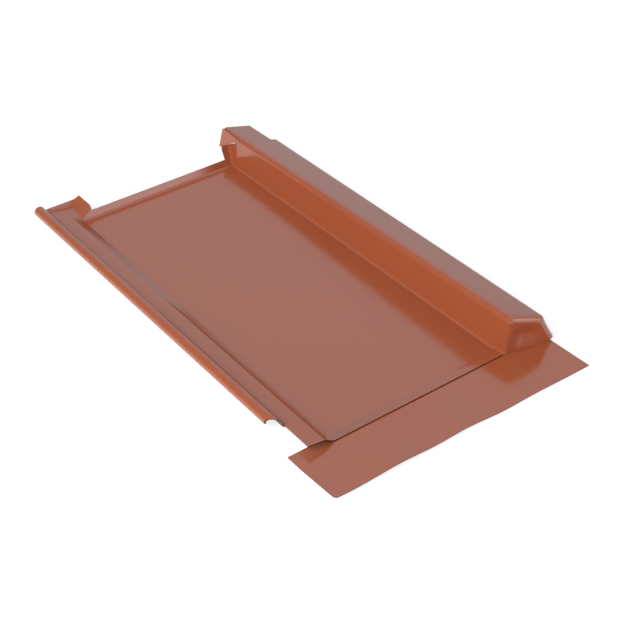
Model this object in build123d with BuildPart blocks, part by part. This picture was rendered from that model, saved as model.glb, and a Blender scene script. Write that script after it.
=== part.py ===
from build123d import *
import os
from math import radians, tan

# Replacement roof tile pressed from one steel sheet, with a soft apron under its foot edge.
# X runs across from the side strip (-X) to the cover roll (+X), Y runs up the roof from the
# foot edge (-Y) to the head (+Y), and Z is up. The origin is the middle of the pan's underside.

# Sheet and press radii
SHEET = 1.0
BEND_RADIUS = 2.5

# Pan: the flat field between the strip's step and the wall of the cover roll
PAN_WIDTH = 160.0
PAN_LENGTH = 383.0
HEAD_HEIGHT = 7.0
HEAD_LEAN = 25.0

# Raised side strip, which drains under the neighbour's cover roll
STEP_RUN = 9.6
STEP_RISE = 5.5
STRIP_WIDTH = 14.0
STRIP_CLIMB = 1.6
STRIP_OVERRUN = 25.0
STRIP_END_HEIGHT = 4.8
FLAP_FOOT = 1.0
FLAP_LEAN = 58.0
FLAP_RUN = 11.0

# Bead folded over along the strip's outer edge, its foot end cut off at a slant
BEAD_WIDTH = 10.0
BEAD_OVERRUN = 4.0
BEAD_CUT_INNER = 29.0
BEAD_CUT_OUTER = 41.0

# Cover roll: a hollow ridge, wider and lower at the head, with a skewed end wall at the foot
ROLL_HEIGHT = 34.0
ROLL_HEAD_HEIGHT = 31.0
ROLL_DRAFT = 7.0
ROLL_TOP_WIDTH = 31.0
ROLL_HEAD_WIDTH = 37.5
ROLL_TOP_FALL = 10.0
ROLL_LEG_LEAN = 24.0
ROLL_OVERRUN = 20.0
ROLL_RADIUS = 4.5
END_SKEW = 12.0

# Head end of the roll: the web to the head upstand, and the wall cut free beyond it
WEB_WIDTH = 6.0
WEB_HEIGHT = 18.0
WALL_END_HEIGHT = 12.0
FLARE_REACH = 3.6
FLARE_LENGTH = 30.0
NOTCH_LENGTH = 43.0
NOTCH_RUN = 6.0
NOTCH_INSET = 7.5

# Soft apron, held in a joggle under the foot edge
APRON_SHEET = 0.6
APRON_LEFT = 37.0
APRON_RIGHT = 42.0
APRON_DROP = 49.8
APRON_TUCK = 7.0
APRON_FLAT = 9.5
APRON_CORNER = 3.0
APRON_WAVES = (2.7, 2.4, 3.4, 2.1, 2.9, 0.6, 1.0, 0.5, 0.3)
JOGGLE_MARGIN = 1.5
JOGGLE_RUN = 2.5

# Places that follow from these sizes
head_slope = tan(radians(HEAD_LEAN))
flap_slope = tan(radians(FLAP_LEAN))
draft_slope = tan(radians(ROLL_DRAFT))
leg_slope = tan(radians(ROLL_LEG_LEAN))
skew_slope = tan(radians(END_SKEW))
left, right = -PAN_WIDTH / 2, PAN_WIDTH / 2
foot, head = -PAN_LENGTH / 2, PAN_LENGTH / 2
head_edge = head + HEAD_HEIGHT * head_slope
web_edge = head + WEB_HEIGHT * head_slope
strip_edge = left - STEP_RUN - STRIP_WIDTH
strip_low = SHEET + STEP_RISE
strip_high = strip_low + STRIP_CLIMB
strip_head = head + STRIP_OVERRUN
strip_end = strip_head + STRIP_END_HEIGHT * head_slope
flap_edge = left - FLAP_FOOT + FLAP_RUN
roll_end = head + ROLL_OVERRUN
roll_crest = right + ROLL_HEIGHT * draft_slope
notch_edge = roll_crest + ROLL_HEAD_WIDTH - NOTCH_INSET
joggle_end = foot + APRON_TUCK + JOGGLE_MARGIN

# The press forms run past the sheet by this much, and the sheet is then trimmed to its blank
SPARE = 40.0
front, back = foot - SPARE, max(strip_end, roll_end) + SPARE
wide = right + 2 * SPARE
land = SHEET + WEB_HEIGHT + BEND_RADIUS


def prism(plane, points, grow, length):
    """A straight bar with the given section, its sides moved outwards by grow."""
    with BuildPart() as bar:
        with BuildSketch(plane):
            with BuildLine():
                Polyline(*points, close=True)
            make_face()
            offset(amount=grow, kind=Kind.INTERSECTION)
        extrude(amount=length)
    return bar.part


def hollow(across, wall_foot, drop):
    """A pressed hollow: a section across the tile, closed by a leaning wall at the head."""
    low, high = min(z for x, z in across), max(z for x, z in across)
    sides = min(x for x, z in across), max(x for x, z in across)
    under, over = wall_foot - SPARE * head_slope, wall_foot + (high - low) * head_slope
    along = [(front, low - SPARE), (under, low - SPARE), (over, high), (front, high)]
    with BuildPart() as space:
        add(prism(Plane.XZ.offset(-front), across, drop, front - back))
        add(prism(Plane.YZ.offset(front), along, drop, 2 * back), mode=Mode.INTERSECT)
        pressed = space.edges().filter_by(lambda edge: is_pressed(edge, sides, high))
        fillet(pressed, BEND_RADIUS + drop)
    return space.part


def is_pressed(edge, sides, high):
    """True for an edge between pressed walls and floor, away from the form's spare ends."""
    middle = edge.center()
    across = sides[0] + SHEET < middle.X < sides[1] - SHEET
    return across and middle.Y > front + SHEET and middle.Z < high - SHEET


def pan_hollow(drop):
    """The hollow over the pan, with the sloping step to the strip as its left side."""
    deep = 2 * land
    step_x, spare_x = left - deep * STEP_RUN / STEP_RISE, right + SPARE
    across = [(left, SHEET), (spare_x, SHEET), (spare_x, SHEET + deep), (step_x, SHEET + deep)]
    return hollow(across, head, drop)


def strip_hollow(drop):
    """The hollow over the side strip, with the flared flap as its right side."""
    deep, fall = 2 * land, STRIP_CLIMB / STRIP_WIDTH
    flap_x, flap_z = left - FLAP_FOOT, strip_low - fall * (STEP_RUN - FLAP_FOOT)
    spare_x, spare_z = strip_edge - SPARE, strip_high + fall * SPARE
    top_x, top_z = flap_x + deep * flap_slope, flap_z + deep
    across = [(flap_x, flap_z), (top_x, top_z), (spare_x, top_z), (spare_x, spare_z)]
    return hollow(across, strip_head, drop)


def roll_section(height, width):
    """The cover roll's section: its wall, the falling top and the outer leg."""
    top, shoulder = SHEET + height, SHEET + height - ROLL_TOP_FALL
    top_right = roll_crest + width
    return [
        (roll_crest, top),
        (top_right, shoulder),
        (top_right + (shoulder + SPARE) * leg_slope, -SPARE),
        (roll_crest - (top + SPARE) * draft_slope, -SPARE),
    ]


def roll_ridge(drop):
    """The solid ridge under the cover roll, ended askew at the foot and rounded on top."""
    stations = ((front, ROLL_HEIGHT, ROLL_TOP_WIDTH), (back, ROLL_HEAD_HEIGHT, ROLL_HEAD_WIDTH))
    lead = 2 * SPARE
    before_end = [
        (right - lead, front - lead),
        (right - lead, foot + lead * skew_slope),
        (wide, foot - lead * skew_slope),
        (wide, front - lead),
    ]
    with BuildPart() as ridge:
        for station, height, width in stations:
            with BuildSketch(Plane.XZ.offset(-station)):
                with BuildLine():
                    Polyline(*roll_section(height, width), close=True)
                make_face()
                offset(amount=-drop, kind=Kind.INTERSECTION)
        loft(ruled=True)
        add(prism(Plane.XY.offset(-lead), before_end, drop, 2 * lead), mode=Mode.SUBTRACT)
        fillet(ridge.edges().filter_by(is_ridge_top), ROLL_RADIUS - drop)
    return ridge.part


def is_ridge_top(edge):
    """True for the ridge's long top edges and the edges round its end wall."""
    middle = edge.center()
    along = edge.length > PAN_LENGTH and middle.Z > 0
    return along or abs(middle.Y - foot) < SPARE / 2 and middle.Z > -SPARE / 2


def flare(drop):
    """The wedge by which the wall cut free beyond the web leans out further and further."""
    high, low = SHEET + ROLL_HEAD_HEIGHT - drop, SHEET + WALL_END_HEIGHT
    start_z = high - BEND_RADIUS
    tip = Vertex(right + drop + start_z * draft_slope, roll_end - FLARE_LENGTH, start_z)
    wall_high, wall_low = right + drop + high * draft_slope, right + drop + low * draft_slope
    base = [(wall_high, high), (wall_low - FLARE_REACH, low), (wall_high + ROLL_RADIUS, low)]
    with BuildPart() as wedge:
        with BuildSketch(Plane.XZ.offset(-roll_end - SHEET)) as end:
            with BuildLine():
                Polyline(*base, close=True)
            make_face()
        loft([end.sketch, tip], ruled=True)
    return wedge.part


def form(drop):
    """The press form under the sheet: drop 0 gives the sheet's face, drop SHEET its back."""
    ridge = roll_ridge(drop)
    beyond_web = [(flap_edge, web_edge), (wide, web_edge), (wide, 2 * back), (flap_edge, 2 * back)]
    with BuildPart() as block:
        with Locations((strip_edge - SPARE, front, -SPARE)):
            Box(
                right + SPARE / 2 - strip_edge + SPARE,
                back - front,
                land - drop + SPARE,
                align=(Align.MIN, Align.MIN, Align.MIN),
            )
        add(pan_hollow(drop), mode=Mode.SUBTRACT)
        add(strip_hollow(drop), mode=Mode.SUBTRACT)
        fillet(block.edges().filter_by(is_crest), BEND_RADIUS + SHEET - drop)
        add(ridge)
        fillet(block.edges().filter_by(is_wall_foot), BEND_RADIUS + drop)
        add(prism(Plane.XY.offset(-2 * SPARE), beyond_web, 0, 4 * SPARE), mode=Mode.SUBTRACT)
        add(ridge)
        add(flare(drop))
        add(joggle(drop))
    return block.part


def is_crest(edge):
    """True for the edges where the strip's floor and flap meet the step and the head wall."""
    middle = edge.center()
    along_step = abs(middle.X - left + STEP_RUN) < STEP_RUN / 2 and edge.length > PAN_LENGTH
    near_head = head - SHEET < middle.Y < head_edge + 2 * SHEET and middle.X < flap_edge
    return (along_step or near_head) and middle.Z > strip_low - 2 * SHEET


def is_wall_foot(edge):
    """True for the edges where the pan and its head wall meet the cover roll."""
    box = edge.bounding_box()
    beside_roll = box.min.X > right - SHEET and box.max.X < roll_crest
    return beside_roll and foot < edge.center().Y < head_edge + 2 * SHEET and box.max.Z < land + SHEET


def joggle(drop):
    """The last stretch of the pan before the foot edge, raised to take in the apron."""
    raised = SHEET + APRON_SHEET - drop
    section = [
        (front, -SPARE / 2),
        (front, raised),
        (joggle_end, raised),
        (joggle_end + JOGGLE_RUN, SHEET - drop),
        (joggle_end + JOGGLE_RUN, -SPARE / 2),
    ]
    return prism(Plane.YZ.offset(left - STEP_RUN / 2), section, 0, PAN_WIDTH + STEP_RUN)


def bead():
    """The strip's edge folded up and over, cut at a slant near the foot."""
    half = SHEET / 2
    inner, outer = strip_edge - half, strip_edge - BEAD_WIDTH + half
    middle, radius = strip_edge - BEAD_WIDTH / 2, BEAD_WIDTH / 2 - half
    cut = [
        (strip_edge + SPARE, foot - SPARE),
        (strip_edge, foot + BEAD_CUT_INNER),
        (strip_edge - BEAD_WIDTH, foot + BEAD_CUT_OUTER),
        (strip_edge - BEAD_WIDTH, foot - SPARE),
    ]
    with BuildPart() as fold:
        with BuildSketch(Plane.XZ.offset(-foot)):
            with BuildLine():
                Line((strip_edge + SHEET, strip_high - half), (inner, strip_high - half))
                Line((inner, strip_high - half), (inner, strip_high))
                ThreePointArc((inner, strip_high), (middle, strip_high + radius), (outer, strip_high))
                Line((outer, strip_high), (outer, strip_high - SHEET))
            trace(line_width=SHEET)
        extrude(amount=foot - strip_end - BEAD_OVERRUN)
        add(prism(Plane.XY, cut, 0, 2 * land), mode=Mode.SUBTRACT)
    return fold.part


# Press the sheet between the two forms and trim it to its blank
blank = [
    (strip_edge, foot),
    (right, foot),
    (wide, foot - (wide - right) * skew_slope),
    (wide, roll_end - NOTCH_LENGTH),
    (notch_edge, roll_end - NOTCH_LENGTH + NOTCH_RUN),
    (notch_edge, roll_end),
    (right - FLARE_REACH, roll_end),
    (right - FLARE_REACH, web_edge),
    (right - WEB_WIDTH, web_edge),
    (right - WEB_WIDTH, head_edge),
    (flap_edge, head_edge),
    (flap_edge, strip_end),
    (strip_edge, strip_end),
]
under_wall_end = [
    (web_edge, -SHEET),
    (web_edge, SHEET + WEB_HEIGHT),
    (roll_end, SHEET + WALL_END_HEIGHT),
    (roll_end + SHEET, -SHEET),
]
wall_side = Plane.YZ.offset(right - 2 * FLARE_REACH)
wall_reach = roll_crest - right + 2 * FLARE_REACH
with BuildPart() as pressed_tile:
    add(form(0))
    add(form(SHEET), mode=Mode.SUBTRACT)
    add(prism(Plane.XY, blank, 0, 2 * SPARE), mode=Mode.INTERSECT)
    add(prism(wall_side, under_wall_end, 0, wall_reach), mode=Mode.SUBTRACT)
    add(bead())
    with Locations((left - APRON_LEFT, joggle_end, 0)):
        Box(
            wide - left + APRON_LEFT,
            joggle_end - front,
            2 * APRON_SHEET,
            align=(Align.MIN, Align.MAX, Align.CENTER),
            mode=Mode.SUBTRACT,
        )
pressed_tile.part.label = "pressed_tile"

# Apron: a soft sheet tucked under the foot edge, its free part lying in gentle waves
apron_left, apron_width = left - APRON_LEFT, APRON_LEFT + PAN_WIDTH + APRON_RIGHT
wave_step = apron_width / (len(APRON_WAVES) - 1)
wave_line = [(apron_left + i * wave_step, lift) for i, lift in enumerate(APRON_WAVES)]
with BuildPart() as apron:
    with Locations((apron_left, foot + APRON_TUCK, 0)):
        Box(
            apron_width,
            APRON_TUCK + APRON_FLAT,
            APRON_SHEET,
            align=(Align.MIN, Align.MAX, Align.MIN),
        )
    with BuildSketch(Plane.XZ.offset(APRON_FLAT - foot)):
        with Locations((apron_left, 0)):
            Rectangle(apron_width, APRON_SHEET, align=(Align.MIN, Align.MIN))
    with BuildSketch(Plane.XZ.offset(APRON_DROP - foot)):
        with BuildLine():
            low = Spline(*wave_line)
            high = Spline(*[(x, z + APRON_SHEET) for x, z in wave_line])
            Line(low @ 0, high @ 0)
            Line(low @ 1, high @ 1)
        make_face()
    loft(ruled=True)
    front_corners = apron.edges().filter_by(Axis.Z).group_by(Axis.Y)[0]
    fillet(front_corners.sort_by(Axis.X)[0], APRON_CORNER)
apron.part.label = "apron"

os.makedirs("parts", exist_ok=True)
export_step(pressed_tile.part, "parts/pressed_tile.step")
export_step(apron.part, "parts/apron.step")
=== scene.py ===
from math import cos, radians, sin, tan

import bpy
from mathutils import Matrix, Vector


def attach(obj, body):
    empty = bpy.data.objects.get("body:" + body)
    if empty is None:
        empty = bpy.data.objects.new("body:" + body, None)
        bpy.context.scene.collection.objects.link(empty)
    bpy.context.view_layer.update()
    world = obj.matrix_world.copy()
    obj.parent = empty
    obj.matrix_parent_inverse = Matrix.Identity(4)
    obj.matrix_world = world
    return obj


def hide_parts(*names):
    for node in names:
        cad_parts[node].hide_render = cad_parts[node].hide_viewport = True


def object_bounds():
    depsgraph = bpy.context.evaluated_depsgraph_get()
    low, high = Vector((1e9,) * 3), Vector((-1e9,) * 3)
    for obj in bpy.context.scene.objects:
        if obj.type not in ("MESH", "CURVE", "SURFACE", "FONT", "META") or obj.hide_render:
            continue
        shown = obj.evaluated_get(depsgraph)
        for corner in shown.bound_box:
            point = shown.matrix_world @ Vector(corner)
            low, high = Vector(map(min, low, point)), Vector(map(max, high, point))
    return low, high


bl_info = {
    "name": "Metal roof tile",
    "version": (1, 0, 0),
    "blender": (4, 5, 0),
    "location": "View3D > Sidebar > Roof Tile",
    "description": "Painted steel roof tile with a side strip, a cover roll and a soft apron",
    "category": "Add Mesh",
}

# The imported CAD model: metres, origin in the middle of the pan's underside, +Z up
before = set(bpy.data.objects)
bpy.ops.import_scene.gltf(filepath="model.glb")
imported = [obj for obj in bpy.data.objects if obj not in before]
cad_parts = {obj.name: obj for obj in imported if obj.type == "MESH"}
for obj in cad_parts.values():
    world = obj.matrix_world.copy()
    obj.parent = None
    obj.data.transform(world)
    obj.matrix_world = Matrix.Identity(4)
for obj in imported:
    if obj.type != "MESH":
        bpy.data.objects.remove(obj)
CAD_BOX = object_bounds()

# Places on the pressed sheet, in metres, and the skew of the roll's end wall
MM = 0.001
PAN_RIGHT = 80 * MM
PAN_FOOT = -191.5 * MM
STRIP_EDGE = -103.6 * MM
WEB_EDGE = 199.9 * MM
TAB_INNER = 86 * MM
TAB_LOW = 12 * MM
END_WALL_DEPTH = 6 * MM
END_SKEW = tan(radians(12))

# Faces upright by this share of their normal are cut edges, unless they are pressed walls
UPRIGHT = 0.02

# Relief of the roll's foot end, in millimetres
DISH_DEPTH = 2.4
LIP_LIFT = 2.2

# Corners of the web's top edge, with the way each is moved, in millimetres
WEB_MOVES = (
    ((74, 199.89, 19), (0, 0, 1.8)),
    ((80.14, 199.89, 19), (0, 0, 0.8)),
)

# The photograph's camera: where it looks, how far it stands and how it is turned
LOOK_AT = Vector((-0.001532, -0.053706, 0.001))
CAMERA_DISTANCE = 1.092759
CAMERA_AZIMUTH = radians(-33.868)
CAMERA_ELEVATION = radians(35.634)
CAMERA_ROLL = radians(-3.0)
SENSOR = 36.0
LENS = 1349.290 / 625 * SENSOR


class Socket:
    """A node's output that takes part in arithmetic, each operation adding its Math node."""

    def __init__(self, tree, output):
        self.tree = tree
        self.output = output

    def math(self, operation, *others):
        return Shader(self.tree).node("ShaderNodeMath", {"operation": operation}, [self, *others])

    def __add__(self, other):
        return self.math("ADD", other)

    def __radd__(self, other):
        return self + other

    def __sub__(self, other):
        return self.math("SUBTRACT", other)

    def __rsub__(self, other):
        return self * -1 + other

    def __mul__(self, other):
        return self.math("MULTIPLY", other)

    def __rmul__(self, other):
        return self * other

    def __truediv__(self, other):
        return self.math("DIVIDE", other)

    def __abs__(self):
        return self.math("ABSOLUTE")

    def above(self, edge, blur):
        """0 below the edge and 1 above it, with a soft step that wide."""
        ramp = (self - (edge - blur / 2)) / blur
        return ramp.math("MAXIMUM", 0).math("MINIMUM", 1)

    def either(self, other):
        return self.math("MAXIMUM", other)


class Shader:
    """A node tree that is filled one node at a time."""

    def __init__(self, tree):
        self.tree = tree

    def node(self, kind, settings=None, inputs=(), out=0):
        """Adds a node, applies its settings, then links or sets its sockets; gives an output."""
        made = self.tree.nodes.new(kind)
        for name, value in (settings or {}).items():
            setattr(made, name, value)
        pairs = inputs.items() if isinstance(inputs, dict) else enumerate(inputs)
        for key, value in pairs:
            self.feed(made, key, value)
        return Socket(self.tree, made.outputs[out]) if made.outputs else None

    def feed(self, made, key, value):
        if isinstance(value, Socket):
            self.tree.links.new(value.output, made.inputs[key])
        else:
            made.inputs[key].default_value = value

    def mix(self, share, first, second):
        """A colour between the two, by the share of the second."""
        settings = {"data_type": "RGBA"}
        return self.node("ShaderNodeMix", settings, {0: share, 6: first, 7: second}, 2)

    def noise(self, place, scale, detail=2.0, rough=0.5):
        inputs = {"Vector": place, "Scale": scale, "Detail": detail, "Roughness": rough}
        return self.node("ShaderNodeTexNoise", {}, inputs)

    def background(self, colour, strength):
        return self.node("ShaderNodeBackground", {}, {"Color": colour, "Strength": strength})

    def position(self):
        return self.node("ShaderNodeTexCoord", {}, (), 3)

    def ray(self, kind):
        """1 for rays of that kind and 0 for the others."""
        rays = self.tree.nodes.new("ShaderNodeLightPath")
        return Socket(self.tree, rays.outputs[kind])

    def looked_at(self):
        """1 where the camera sees the surface, directly or mirrored in the paint."""
        return self.ray("Is Camera Ray").either(self.ray("Is Glossy Ray"))

    def axes(self, vector):
        split = self.tree.nodes.new("ShaderNodeSeparateXYZ")
        self.tree.links.new(vector.output, split.inputs[0])
        return [Socket(self.tree, split.outputs[i]) for i in range(3)]


def linear(colour):
    """A colour as a picture shows it, turned into the linear light that shaders use."""
    parts = [c / 12.92 if c <= 0.04045 else ((c + 0.055) / 1.055) ** 2.4 for c in colour]
    return (*parts, 1.0)


def new_material(name):
    material = bpy.data.materials.new(name)
    material.use_nodes = True
    tree = material.node_tree
    tree.nodes.clear()
    return material, Shader(tree)


def painted_sheet(name, look):
    """Terracotta paint over zinc-coated steel, which shows bare on the back and the cut edges; the
    cut edges are darkened to a brown that is partly painted shade for the shadowed gaps along them.
    """
    material, shader = new_material(name)
    place = shader.position()
    painted = shader.node("ShaderNodeAttribute", {"attribute_name": "painted"}, (), 2)
    shaded_cut = shader.node("ShaderNodeAttribute", {"attribute_name": "shaded_cut_edge"}, (), 2)

    drift = shader.noise(place, 9.0, 3.0)
    grain = shader.noise(place, 900.0, 2.0)
    tone = drift * 0.7 + grain * 0.3
    paint = shader.mix(tone, linear(look.paint_deep), linear(look.paint_light))

    spangle = shader.node(
        "ShaderNodeTexVoronoi", {"feature": "F1"}, {"Vector": place, "Scale": 160.0}, 1
    )
    flake = shader.axes(spangle)[0]
    zinc = shader.mix(flake, linear((0.60, 0.62, 0.63)), linear((0.74, 0.75, 0.76)))
    # The cut edges' dark brown is partly bare cut steel and partly painted shade for the shadowed
    # gaps under the free tab and along the foot edge.
    zinc_and_shaded_cut = shader.mix(shaded_cut, zinc, linear((0.40, 0.30, 0.26)))
    colour = shader.mix(painted, zinc_and_shaded_cut, paint)

    coat_rough = look.paint_roughness + (tone - 0.5) * 0.06
    zinc_rough = 0.38 + flake * 0.14
    rough = painted * coat_rough + (1 - painted) * zinc_rough

    ripple = shader.noise(place, 26.0, 2.0) * 0.7 + shader.noise(place, 340.0, 2.0) * 0.012
    bump = shader.node(
        "ShaderNodeBump", {}, {"Strength": 0.22, "Distance": 0.0016, "Height": ripple}
    )
    surface = shader.node(
        "ShaderNodeBsdfPrincipled",
        {},
        {
            "Base Color": colour,
            "Roughness": rough,
            "Metallic": 1 - painted,
            "IOR": 1.65,
            "Normal": bump,
        },
    )
    shader.node("ShaderNodeOutputMaterial", {}, {"Surface": surface})
    return material


def copy_of_node(node, name):
    """A merged copy of a CAD node's mesh, as an object of its own."""
    piece = bpy.data.objects.new(name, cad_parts[node].data.copy())
    bpy.context.scene.collection.objects.link(piece)
    bpy.ops.object.select_all(action="DESELECT")
    bpy.context.view_layer.objects.active = piece
    piece.select_set(True)
    bpy.ops.object.mode_set(mode="EDIT")
    bpy.ops.mesh.select_all(action="SELECT")
    bpy.ops.mesh.remove_doubles(threshold=1e-6)
    bpy.ops.mesh.customdata_custom_splitnormals_clear()
    bpy.ops.object.mode_set(mode="OBJECT")
    return piece


def mark_sides(piece, is_painted, is_shaded_cut):
    """Stores on every face whether it carries paint and whether it is a cut edge, which the material
    darkens as partly painted shade.
    """
    mesh = piece.data
    painted = mesh.attributes.new("painted", "FLOAT", "FACE")
    shaded_cut = mesh.attributes.new("shaded_cut_edge", "FLOAT", "FACE")
    for face in mesh.polygons:
        edge = is_shaded_cut(face.center, face.normal)
        shaded_cut.data[face.index].value = float(edge)
        painted.data[face.index].value = float(is_painted(face.center, face.normal) and not edge)


def near_end_wall(centre):
    return centre.y < PAN_FOOT + END_WALL_DEPTH and centre.x > PAN_RIGHT


def tile_is_painted(centre, normal):
    """True for what faces up, and for the upright outer sides of the end wall and the bead."""
    upright = abs(normal.z) < UPRIGHT
    outside = near_end_wall(centre) and normal.y < UPRIGHT
    outer_bead = centre.x < STRIP_EDGE + MM and abs(normal.x) > 0.9
    return normal.z > UPRIGHT or upright and (outside or outer_bead)


def tile_is_shaded_cut(centre, normal):
    """True for the sheet's trimmed edges, and for the slanting one under the free tab; all of them
    get the dark colour that is partly painted shade.
    """
    under_tab = centre.y > WEB_EDGE and centre.x < TAB_INNER and centre.z > TAB_LOW
    upright = abs(normal.z) < UPRIGHT and not near_end_wall(centre)
    return (upright or under_tab and normal.z < -0.3) and not tile_is_painted(centre, normal)


def apron_is_painted(centre, normal):
    return normal.z > 0.3


# The apron's upright edges get the same dark cut colour, partly painted shade along its edge.
def apron_is_shaded_cut(centre, normal):
    return abs(normal.z) < 0.3


def ramp(low, high, value):
    """0 below low and 1 above high, with a smooth rise between."""
    share = min(max((value - low) / (high - low), 0.0), 1.0)
    return share * share * (3 - 2 * share)


def move_corners(piece, moves):
    """Moves every corner of the mesh that lies at one of the places, given in millimetres."""
    for corner in piece.data.vertices:
        for place, shift in moves:
            if (corner.co - Vector(place) * MM).length < 0.4 * MM:
                corner.co += Vector(shift) * MM
                break


def end_wall_gap(place):
    """How far a place lies behind the face of the roll's end wall."""
    return place.y - (PAN_FOOT - (place.x - PAN_RIGHT) * END_SKEW)


def divide_end_wall(piece):
    """Cuts the flat of the end wall, face and back, into small faces."""
    bpy.ops.object.mode_set(mode="EDIT")
    bpy.ops.mesh.select_mode(type="FACE")
    bpy.ops.mesh.select_all(action="DESELECT")
    bpy.ops.object.mode_set(mode="OBJECT")
    for face in piece.data.polygons:
        gaps = [end_wall_gap(piece.data.vertices[i].co) for i in face.vertices]
        flat = max(gaps) - min(gaps) < 0.1 * MM and min(gaps) > -0.1 * MM and max(gaps) < 1.2 * MM
        face.select = flat and face.center.x > PAN_RIGHT
    bpy.ops.object.mode_set(mode="EDIT")
    for _ in range(2):
        bpy.ops.mesh.subdivide(number_cuts=3)
    bpy.ops.mesh.select_all(action="DESELECT")
    bpy.ops.mesh.select_mode(type="VERT")
    bpy.ops.object.mode_set(mode="OBJECT")


def dish_end_wall(piece):
    """Presses the end wall in, most at its middle, and lifts the outer leg's foot corner."""
    for corner in piece.data.vertices:
        gap, x, z = end_wall_gap(corner.co), corner.co.x / MM, corner.co.z / MM
        low_x, high_x = 80 + 0.123 * z, 126 - 0.445 * z
        share = (x - low_x) / (high_x - low_x)
        if -0.1 * MM < gap < 1.2 * MM and x > 80:
            rim = 30 - 10 * share
            across = ramp(0.08, 0.42, share) * (1 - ramp(0.62, 0.84, share))
            up = ramp(0.3, 15, z) * (1 - ramp(rim - 11, rim - 0.5, z))
            corner.co.y += DISH_DEPTH * MM * across * up
        lift = ramp(117, 124, x) * (1 - ramp(-4, 14, gap / MM)) * (1 - ramp(2, 12, z))
        corner.co.z += LIP_LIFT * MM * lift


def finish_piece(piece, node, material):
    """Shades the piece, gives it its material and puts it in the place of its CAD node."""
    bpy.ops.object.select_all(action="DESELECT")
    bpy.context.view_layer.objects.active = piece
    piece.select_set(True)
    bpy.ops.object.shade_smooth_by_angle(angle=radians(32))
    piece.data.materials.clear()
    piece.data.materials.append(material)
    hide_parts(node)
    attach(piece, "root")


class PaintLook(bpy.types.PropertyGroup):
    """The paint's colours and gloss."""

    paint_deep: bpy.props.FloatVectorProperty(
        name="Paint, deep",
        description="The paint where it looks darkest",
        default=(0.640, 0.325, 0.195),
        subtype="COLOR_GAMMA",
    )
    paint_light: bpy.props.FloatVectorProperty(
        name="Paint, light",
        description="The paint where it looks lightest",
        default=(0.665, 0.350, 0.220),
        subtype="COLOR_GAMMA",
    )
    paint_roughness: bpy.props.FloatProperty(
        name="Paint roughness",
        description="How much the paint blurs its reflections",
        default=0.17,
        min=0.0,
        max=1.0,
        subtype="FACTOR",
    )


class StageLook(bpy.types.PropertyGroup):
    """The floor and the lights."""

    floor_size: bpy.props.FloatProperty(
        name="Floor size", description="Side of the floor", default=3.0, unit="LENGTH"
    )
    sky_strength: bpy.props.FloatProperty(
        name="Sky strength", description="Level of the even studio light", default=0.42
    )


class ROOFTILE_OT_pressed_sheet(bpy.types.Operator):
    """Make the pressed sheet: pan, side strip, head upstand and cover roll"""

    bl_idname = "rooftile.pressed_sheet"
    bl_label = "Pressed sheet"

    def execute(self, context):
        piece = copy_of_node("pressed_tile", "pressed_sheet")
        mark_sides(piece, tile_is_painted, tile_is_shaded_cut)
        move_corners(piece, WEB_MOVES)
        divide_end_wall(piece)
        dish_end_wall(piece)
        material = painted_sheet("terracotta_sheet", context.scene.rooftile_paint)
        finish_piece(piece, "pressed_tile", material)
        return {"FINISHED"}


class ROOFTILE_OT_apron(bpy.types.Operator):
    """Make the soft apron under the foot edge"""

    bl_idname = "rooftile.apron"
    bl_label = "Apron"

    def execute(self, context):
        piece = copy_of_node("apron", "apron_sheet")
        mark_sides(piece, apron_is_painted, apron_is_shaded_cut)
        material = painted_sheet("terracotta_apron", context.scene.rooftile_paint)
        finish_piece(piece, "apron", material)
        return {"FINISHED"}


class ROOFTILE_OT_stage(bpy.types.Operator):
    """Set up the pale floor, the soft lights and the camera"""

    bl_idname = "rooftile.stage"
    bl_label = "Stage"

    def execute(self, context):
        look = context.scene.rooftile_stage
        make_floor(look.floor_size)
        make_sky(look.sky_strength)
        make_lamps()
        make_camera()
        return {"FINISHED"}


def make_floor(size):
    """A level pale floor just under the part, seen white by the camera away from shadow."""
    bpy.ops.object.select_all(action="DESELECT")
    under_part = CAD_BOX[0][2] - 0.2 * MM
    bpy.ops.mesh.primitive_plane_add(size=size, location=(0, 0, under_part))
    floor = bpy.context.active_object
    floor.name = "floor"
    bpy.ops.object.transform_apply(location=True, rotation=True, scale=True)
    material, shader = new_material("pale_floor")
    white = shader.node("ShaderNodeBsdfDiffuse", {}, {"Color": (0.80, 0.80, 0.80, 1)})
    glow = shader.node("ShaderNodeEmission", {}, {"Color": (1, 1, 1, 1), "Strength": 0.48})
    seen = shader.node("ShaderNodeAddShader", {}, [white, glow])
    surface = shader.node("ShaderNodeMixShader", {}, [shader.looked_at(), white, seen])
    shader.node("ShaderNodeOutputMaterial", {}, {"Surface": surface})
    floor.data.materials.append(material)


def make_sky(strength):
    """Even cool light on the object, a brighter right side in its gloss, and white to the camera."""
    world = bpy.data.worlds.new("studio")
    bpy.context.scene.world = world
    world.use_nodes = True
    world.node_tree.nodes.clear()
    shader = Shader(world.node_tree)
    light = shader.background((0.93, 0.96, 1.0, 1), strength)
    white = shader.background((1, 1, 1, 1), 1.0)
    sideways, _, upward = shader.axes(shader.node("ShaderNodeTexCoord", {}, (), 0))
    tint = shader.mix(sideways.above(0.1, 0.6), (0.22, 0.24, 0.26, 1), (0.74, 0.90, 1.0, 1))
    cool = shader.background(tint, upward * 0.45 + 0.78)
    glossy = shader.ray("Is Glossy Ray")
    mirrored = shader.node("ShaderNodeMixShader", {}, [glossy, light, cool])
    seen = shader.node("ShaderNodeMixShader", {}, [shader.ray("Is Camera Ray"), mirrored, white])
    shader.node("ShaderNodeOutputWorld", {}, {"Surface": seen})


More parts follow.
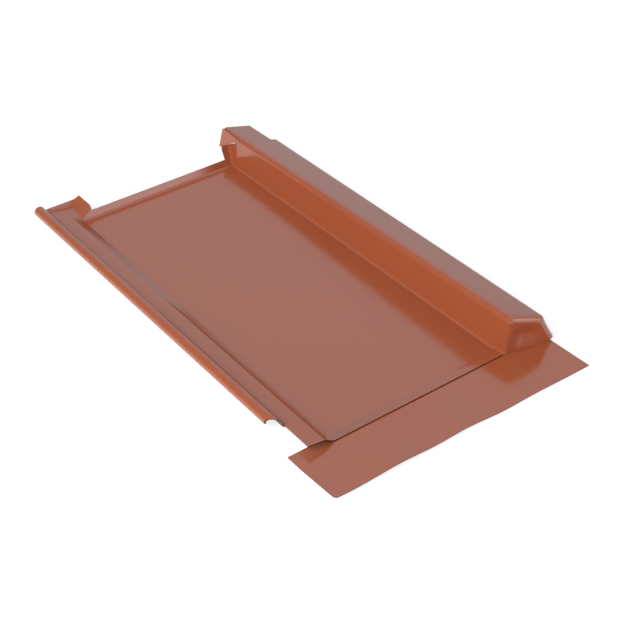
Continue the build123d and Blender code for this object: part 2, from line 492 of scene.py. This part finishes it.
def make_lamps():
    """A soft key from the left, kept out of the gloss, and a low lamp that the upstand mirrors."""
    for name, place, aim, size, power in (
        ("key", (-1.9, -0.6, 1.4), (0, 0, 0), 3.0, 70.0),
        ("low_front", (1.1, -1.9, 0.55), (0, 0.19, 0), 0.9, 5.0),
    ):
        data = bpy.data.lights.new(name, "AREA")
        data.shape, data.size, data.energy = "SQUARE", size, power
        lamp = bpy.data.objects.new(name, data)
        bpy.context.scene.collection.objects.link(lamp)
        lamp.location = place
        lamp.rotation_mode = "QUATERNION"
        towards = Vector(aim) - Vector(place)
        lamp.rotation_quaternion = towards.to_track_quat("-Z", "Y")
        lamp.visible_glossy = name != "key"


def make_camera():
    """Stands the camera where the photograph was taken from."""
    azimuth, elevation, roll = CAMERA_AZIMUTH, CAMERA_ELEVATION, CAMERA_ROLL
    back = Vector((sin(azimuth) * cos(elevation), -cos(azimuth) * cos(elevation), sin(elevation)))
    level = Vector((cos(azimuth), sin(azimuth), 0))
    rise = back.cross(level)
    right = level * cos(roll) + rise * sin(roll)
    up = rise * cos(roll) - level * sin(roll)
    data = bpy.data.cameras.new("camera")
    data.lens, data.sensor_width = LENS, SENSOR
    data.clip_start, data.clip_end = 0.05, 50
    camera = bpy.data.objects.new("camera", data)
    bpy.context.scene.collection.objects.link(camera)
    turn = Matrix((right, up, back)).transposed()
    camera.matrix_world = Matrix.Translation(LOOK_AT + back * CAMERA_DISTANCE) @ turn.to_4x4()
    bpy.context.scene.camera = camera
    bpy.context.scene.view_settings.view_transform = "Standard"


class ROOFTILE_PT_panel(bpy.types.Panel):
    """Lists the tile's operators and their values."""

    bl_label = "Roof Tile"
    bl_idname = "ROOFTILE_PT_panel"
    bl_space_type = "VIEW_3D"
    bl_region_type = "UI"
    bl_category = "Roof Tile"

    def draw(self, context):
        for group in (context.scene.rooftile_paint, context.scene.rooftile_stage):
            for name in group.bl_rna.properties.keys():
                if name not in ("rna_type", "name"):
                    self.layout.prop(group, name)
        for operator in OPERATORS:
            self.layout.operator(operator.bl_idname)


OPERATORS = (ROOFTILE_OT_pressed_sheet, ROOFTILE_OT_apron, ROOFTILE_OT_stage)
CLASSES = (PaintLook, StageLook, *OPERATORS, ROOFTILE_PT_panel)


def register():
    for made in CLASSES:
        bpy.utils.register_class(made)
    bpy.types.Scene.rooftile_paint = bpy.props.PointerProperty(type=PaintLook)
    bpy.types.Scene.rooftile_stage = bpy.props.PointerProperty(type=StageLook)


def unregister():
    del bpy.types.Scene.rooftile_stage
    del bpy.types.Scene.rooftile_paint
    for made in reversed(CLASSES):
        bpy.utils.unregister_class(made)


def main():
    register()
    bpy.ops.rooftile.pressed_sheet()
    bpy.ops.rooftile.apron()
    bpy.ops.rooftile.stage()


if __name__ == "__main__":
    main()
